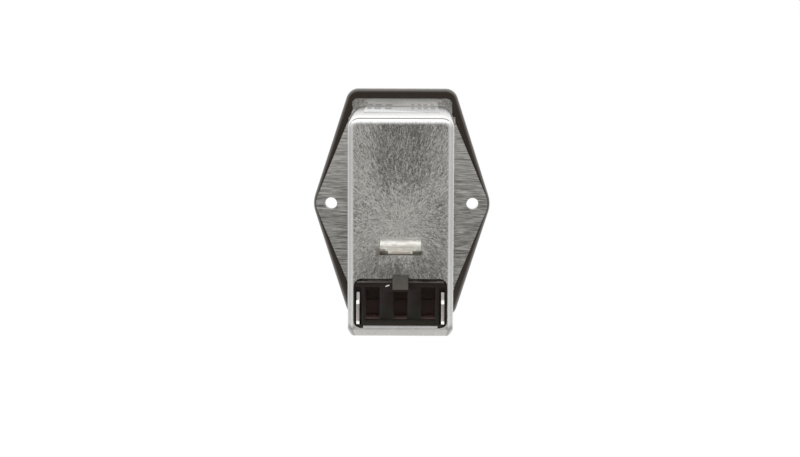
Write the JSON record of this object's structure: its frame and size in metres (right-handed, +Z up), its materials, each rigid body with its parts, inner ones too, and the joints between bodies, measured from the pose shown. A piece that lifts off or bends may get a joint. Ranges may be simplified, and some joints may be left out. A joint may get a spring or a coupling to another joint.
{
  "type": "mains inlet filter",
  "caption": "Flanged mains power entry module: a line filter in a drawn metal can with an inlet, a fuse drawer and a rocker switch in front.",
  "frame": {"origin": "midway between the two screw holes, on the rear face of the shield plate, which seats on the panel", "axes": "+X along the screw line, +Y back into the equipment, +Z up; the front face looks along -Y"},
  "size_m": [0.0498, 0.061, 0.0648],
  "materials": {
    "moulding": "fine satin moulded plastic",
    "shield": "brushed along X",
    "can": "deep drawn, plated, radial draw marks",
    "label": "matt",
    "film": "translucent film",
    "block": "satin moulded plastic",
    "tinned": "bright tin plate",
    "earth_tin": "warm tin plate",
    "pins": "nickel plate",
    "contact": "stamped sheet",
    "glass": "clear",
    "caps": "nickel plate",
    "fuse_wire": "fine wire",
    "rocker": "satin black",
    "plunger": "moulded nylon",
    "spring": "bright wire",
    "board": "solder mask",
    "ferrite": "coated",
    "divider": "fibre board",
    "copper": "enamelled",
    "x_cap": "moulded box",
    "y_cap": "dipped coat",
    "resistor": "lacquered"
  },
  "bodies": {
    "housing": {"bezel_housing": "moulding", "shield_plate": "shield", "filter_can": "can", "label": "label", "insulation_liner": "film", "terminal_block": "block", "line_blade": "tinned", "neutral_blade": "tinned", "earth_tab": "earth_tin", "line_pin": "pins", "neutral_pin": "pins", "earth_pin": "pins", "earth_strap": "tinned", "line_front_clip": "contact", "line_rear_clip": "contact", "neutral_front_clip": "contact", "neutral_rear_clip": "contact", "line_pole_contact": "contact", "neutral_pole_contact": "contact", "circuit_board": "board", "choke_core": "ferrite", "choke_divider": "divider", "line_winding": "copper", "neutral_winding": "copper", "x_capacitor": "x_cap", "line_y_capacitor": "y_cap", "neutral_y_capacitor": "y_cap", "discharge_resistor": "resistor"},
    "rocker_switch": {"rocker": "rocker", "line_plunger": "plunger", "neutral_plunger": "plunger", "line_spring": "spring", "neutral_spring": "spring"},
    "line_contact_arm": {"line_lever": "contact"},
    "neutral_contact_arm": {"neutral_lever": "contact"},
    "fuse_tray": {"fuse_drawer": "moulding", "line_fuse_glass": "glass", "line_fuse_caps": "caps", "line_fuse_wire": "fuse_wire", "neutral_fuse_glass": "glass", "neutral_fuse_caps": "caps", "neutral_fuse_wire": "fuse_wire"}
  },
  "joints": [
    {"name": "rocker_tilt", "type": "hinge", "parent": "housing", "child": "rocker_switch", "pos_m": [0, -0.001, -0.0164], "axis": [1, 0, 0], "range_deg": [-22, 0]},
    {"name": "line_contact_rock", "type": "hinge", "parent": "housing", "child": "line_contact_arm", "pos_m": [0.007, 0.0095, -0.0164], "axis": [1, 0, 0], "range_deg": [0, 16]},
    {"name": "neutral_contact_rock", "type": "hinge", "parent": "housing", "child": "neutral_contact_arm", "pos_m": [-0.007, 0.0095, -0.0164], "axis": [1, 0, 0], "range_deg": [0, 16]},
    {"name": "fuse_drawer_slide", "type": "slide", "parent": "housing", "child": "fuse_tray", "axis": [0, -1, 0], "range_m": [0, 0.02]}
  ],
  "couplings": [
    {"joint": "line_contact_rock", "follows": "rocker_tilt", "ratio": -0.727},
    {"joint": "neutral_contact_rock", "follows": "rocker_tilt", "ratio": -0.727}
  ]
}
